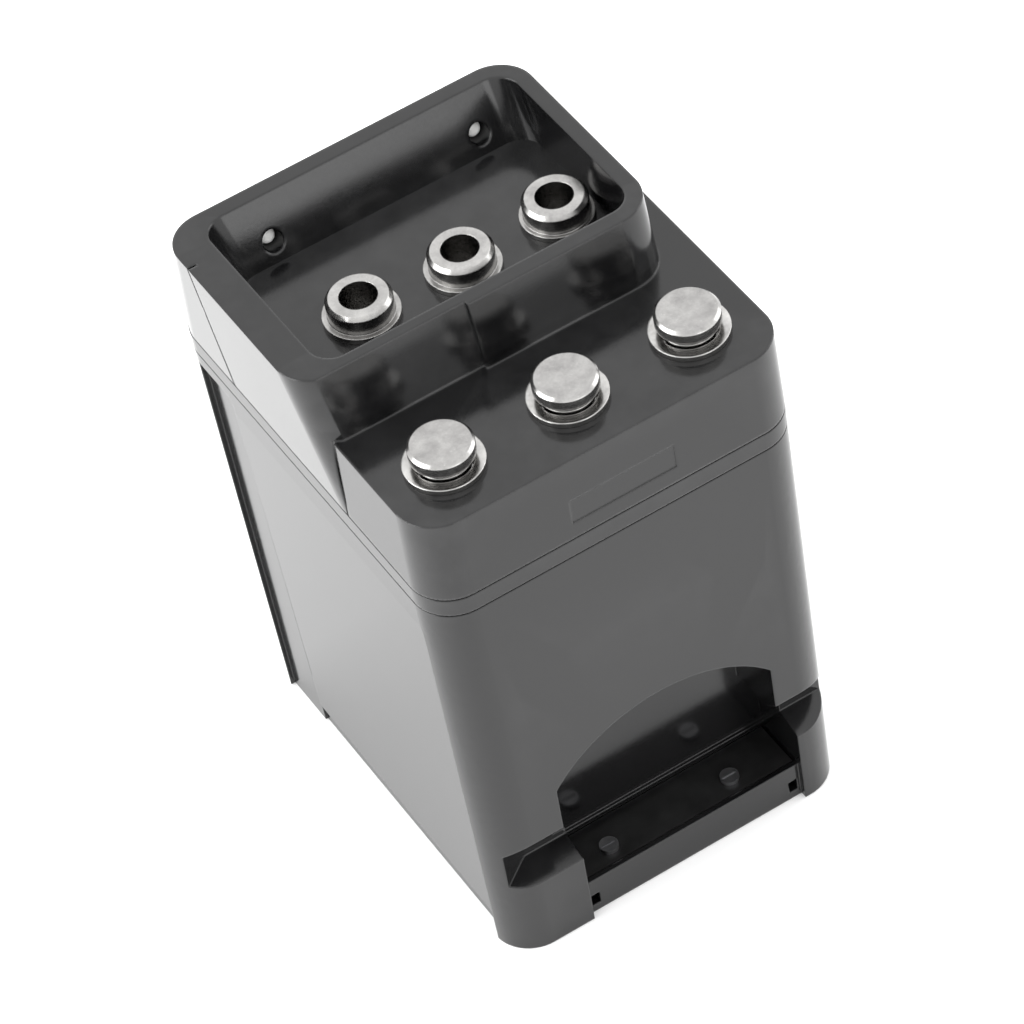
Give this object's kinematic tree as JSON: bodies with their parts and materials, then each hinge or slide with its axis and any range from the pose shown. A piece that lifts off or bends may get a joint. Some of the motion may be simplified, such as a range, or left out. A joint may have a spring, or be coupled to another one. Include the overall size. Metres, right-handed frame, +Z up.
{
  "type": "plug-in battery module",
  "caption": "Upright plastic battery module with sprung contact plungers on its deck, hollow terminals in a raised tray, and an arched finger recess over a guide groove.",
  "frame": {"origin": "centre of the case's bottom face", "axes": "+Z up, front face with the arched recess towards -Y, +X to the right seen from the front"},
  "size_m": [0.069, 0.0814, 0.1134],
  "materials": {
    "case_plastic": "gloss moulded plastic",
    "cap_plastic": "satin top faces over gloss sides",
    "plate_plastic": "matt moulded plastic",
    "screw_steel": "darkened steel",
    "cell_wrap": "shrink wrap",
    "holder_plastic": "matt moulded plastic",
    "strip_nickel": "rolled nickel strip",
    "sheet_paper": "insulating sheet",
    "foam": "closed cell foam",
    "board": "coated circuit board",
    "chip": "moulded package",
    "bright_nickel": "bright nickel plate",
    "nut_steel": "zinc plate",
    "copper": "tinned copper",
    "lead_red": "insulated lead"
  },
  "bodies": {
    "module": {"board_chip": "chip", "bottom_sheet": "sheet_paper", "bottom_strip_left": "strip_nickel", "bottom_strip_middle": "strip_nickel", "bottom_strip_right": "strip_nickel", "cap_shell": "cap_plastic", "case_shell": "case_plastic", "cell_1": "cell_wrap", "cell_2": "cell_wrap", "cell_3": "cell_wrap", "cell_4": "cell_wrap", "cell_5": "cell_wrap", "cell_6": "cell_wrap", "cell_7": "cell_wrap", "cell_8": "cell_wrap", "cell_9": "cell_wrap", "collar_ring": "case_plastic", "ferrule_left": "bright_nickel", "ferrule_lug_left": "copper", "ferrule_lug_middle": "copper", "ferrule_lug_right": "copper", "ferrule_middle": "bright_nickel", "ferrule_nut_left": "nut_steel", "ferrule_nut_middle": "nut_steel", "ferrule_nut_right": "nut_steel", "ferrule_right": "bright_nickel", "foam_pad": "foam", "lead_left": "lead_red", "lead_middle": "lead_red", "lead_right": "lead_red", "lower_holder": "holder_plastic", "protection_board": "board", "recess_plate": "plate_plastic", "recess_screw_left": "screw_steel", "recess_screw_right": "screw_steel", "riser_left": "copper", "riser_middle": "copper", "riser_right": "copper", "socket_left": "bright_nickel", "socket_middle": "bright_nickel", "socket_nut_left": "nut_steel", "socket_nut_middle": "nut_steel", "socket_nut_right": "nut_steel", "socket_right": "bright_nickel", "spring_left": "nut_steel", "spring_middle": "nut_steel", "spring_right": "nut_steel", "spring_seat": "holder_plastic", "top_sheet": "sheet_paper", "top_strip_left": "strip_nickel", "top_strip_middle": "strip_nickel", "top_strip_right": "strip_nickel", "tray_rim": "cap_plastic", "upper_holder": "holder_plastic"},
    "plunger_left_body": {"plunger_left": "bright_nickel", "retainer_left": "nut_steel"},
    "plunger_middle_body": {"plunger_middle": "bright_nickel", "retainer_middle": "nut_steel"},
    "plunger_right_body": {"plunger_right": "bright_nickel", "retainer_right": "nut_steel"}
  },
  "joints": [
    {"name": "plunger_left_press", "type": "slide", "parent": "module", "child": "plunger_left_body", "axis": [0, 0, -1], "range_m": [0, 0.0015], "stiffness_N_per_m": 400, "springref_m": -0.002, "deforming": ["spring_left"]},
    {"name": "plunger_middle_press", "type": "slide", "parent": "module", "child": "plunger_middle_body", "axis": [0, 0, -1], "range_m": [0, 0.0015], "stiffness_N_per_m": 400, "springref_m": -0.002, "deforming": ["spring_middle"]},
    {"name": "plunger_right_press", "type": "slide", "parent": "module", "child": "plunger_right_body", "axis": [0, 0, -1], "range_m": [0, 0.0015], "stiffness_N_per_m": 400, "springref_m": -0.002, "deforming": ["spring_right"]}
  ]
}
